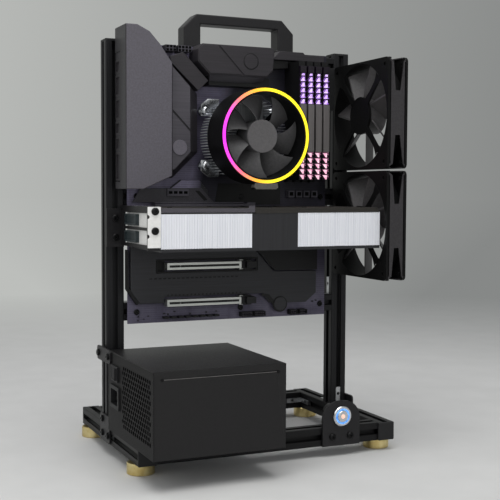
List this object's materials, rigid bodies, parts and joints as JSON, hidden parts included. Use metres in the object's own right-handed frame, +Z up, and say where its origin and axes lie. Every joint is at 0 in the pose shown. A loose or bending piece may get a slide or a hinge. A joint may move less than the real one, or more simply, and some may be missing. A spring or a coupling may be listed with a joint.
{
  "type": "open air test bench",
  "caption": "Open air test bench: slotted black aluminium frame holding an upright mainboard with fan cooler, memory, graphics card and side fans above a power supply, with a carrying handle.",
  "frame": {"origin": "middle of the plan at floor level, under the feet", "axes": "+X to the right along the frame's width, +Y from the board's face to the rear, +Z up"},
  "size_m": [0.3128, 0.271, 0.487],
  "materials": {
    "black_anodised": "black anodised aluminium extrusion",
    "black_paint": "black powder coat",
    "black_screw": "blackened steel",
    "brass": "turned brass",
    "steel": "plain steel",
    "chrome": "bright plated",
    "aluminium": "plain aluminium sheet",
    "grey_aluminium": "grey painted aluminium",
    "black_plastic": "moulded black plastic",
    "grey_plastic": "moulded grey plastic",
    "circuit_board": "dark fibre board",
    "light_plastic": "lit translucent plastic",
    "blue_light": "lit translucent plastic"
  },
  "bodies": {
    "bench": {"left_post": "black_anodised", "right_post": "black_anodised", "base_rails": "black_anodised", "cross_rails": "black_anodised", "end_caps": "black_plastic", "feet": "brass", "slot_connectors": "steel", "carry_handle": "black_paint", "join_plates": "black_paint", "button_plate": "black_paint", "button_housing": "steel", "button_light_ring": "blue_light", "button_nut": "steel", "upper_fan_frame": "black_plastic", "lower_fan_frame": "black_plastic", "fan_straps": "black_paint", "mainboard": "circuit_board", "standoffs": "brass", "board_screws": "steel", "io_shroud": "grey_plastic", "io_ports": "steel", "power_heatsinks": "grey_aluminium", "memory_slots": "black_plastic", "memory_modules": "grey_aluminium", "memory_light_bars": "light_plastic", "expansion_slots": "steel", "board_covers": "black_paint", "board_sockets": "black_plastic", "processor": "steel", "cooler_fins": "aluminium", "cooler_bars": "chrome", "cooler_screws": "chrome", "cooler_duct": "black_plastic", "cooler_light_ring": "light_plastic", "card_board": "circuit_board", "card_fins": "aluminium", "card_cover": "black_plastic", "card_backplate": "black_paint", "card_bracket": "steel", "card_ports": "black_plastic", "card_arm": "black_paint", "psu_cover": "black_paint", "psu_tray": "black_paint", "psu_inlet": "black_plastic", "psu_outputs": "black_plastic", "psu_fan_frame": "black_plastic", "psu_circuit": "circuit_board", "psu_tie_plate": "black_paint", "frame_screws": "black_screw", "slot_nuts": "steel"},
    "cooler_fan": {"cooler_rotor": "black_plastic"},
    "upper_fan": {"upper_fan_rotor": "black_plastic"},
    "lower_fan": {"lower_fan_rotor": "black_plastic"},
    "card_left_fan": {"card_left_rotor": "black_plastic"},
    "card_right_fan": {"card_right_rotor": "black_plastic"},
    "psu_fan": {"psu_rotor": "black_plastic"},
    "power_button": {"button_cap": "steel"},
    "mains_switch": {"psu_rocker": "black_plastic"},
    "lower_latch": {"lower_slot_latch": "black_plastic"},
    "upper_latch": {"upper_slot_latch": "black_plastic"}
  },
  "joints": [
    {"name": "cooler_fan_spin", "type": "hinge", "parent": "bench", "child": "cooler_fan", "pos_m": [-0.003, -0.0435, 0.34756], "axis": [0, -1, 0], "continuous": true},
    {"name": "upper_fan_spin", "type": "hinge", "parent": "bench", "child": "upper_fan", "pos_m": [0.1394, -0.0365, 0.3747], "axis": [1, 0, 0], "continuous": true},
    {"name": "lower_fan_spin", "type": "hinge", "parent": "bench", "child": "lower_fan", "pos_m": [0.1394, -0.0365, 0.2522], "axis": [1, 0, 0], "continuous": true},
    {"name": "card_left_fan_spin", "type": "hinge", "parent": "bench", "child": "card_left_fan", "pos_m": [-0.07765, -0.043, 0.235], "axis": [0, 0, 1], "continuous": true},
    {"name": "card_right_fan_spin", "type": "hinge", "parent": "bench", "child": "card_right_fan", "pos_m": [0.07465, -0.043, 0.235], "axis": [0, 0, 1], "continuous": true},
    {"name": "psu_fan_spin", "type": "hinge", "parent": "bench", "child": "psu_fan", "pos_m": [-0.0821, -0.0605, 0.045], "axis": [0, 0, 1], "continuous": true},
    {"name": "power_button_press", "type": "slide", "parent": "bench", "child": "power_button", "axis": [0, 1, 0], "range_m": [0, 0.0025], "stiffness_N_per_m": 400},
    {"name": "mains_switch_rock", "type": "hinge", "parent": "bench", "child": "mains_switch", "pos_m": [-0.1506, -0.0135, 0.097], "axis": [0, 0, 1], "range_deg": [0, 16]},
    {"name": "lower_latch_open", "type": "hinge", "parent": "bench", "child": "lower_latch", "pos_m": [0.0154, 0.021, 0.16546], "axis": [0, 0, 1], "range_deg": [0, 25]},
    {"name": "upper_latch_open", "type": "hinge", "parent": "bench", "child": "upper_latch", "pos_m": [0.0154, 0.021, 0.2061], "axis": [0, 0, 1], "range_deg": [0, 25]}
  ]
}
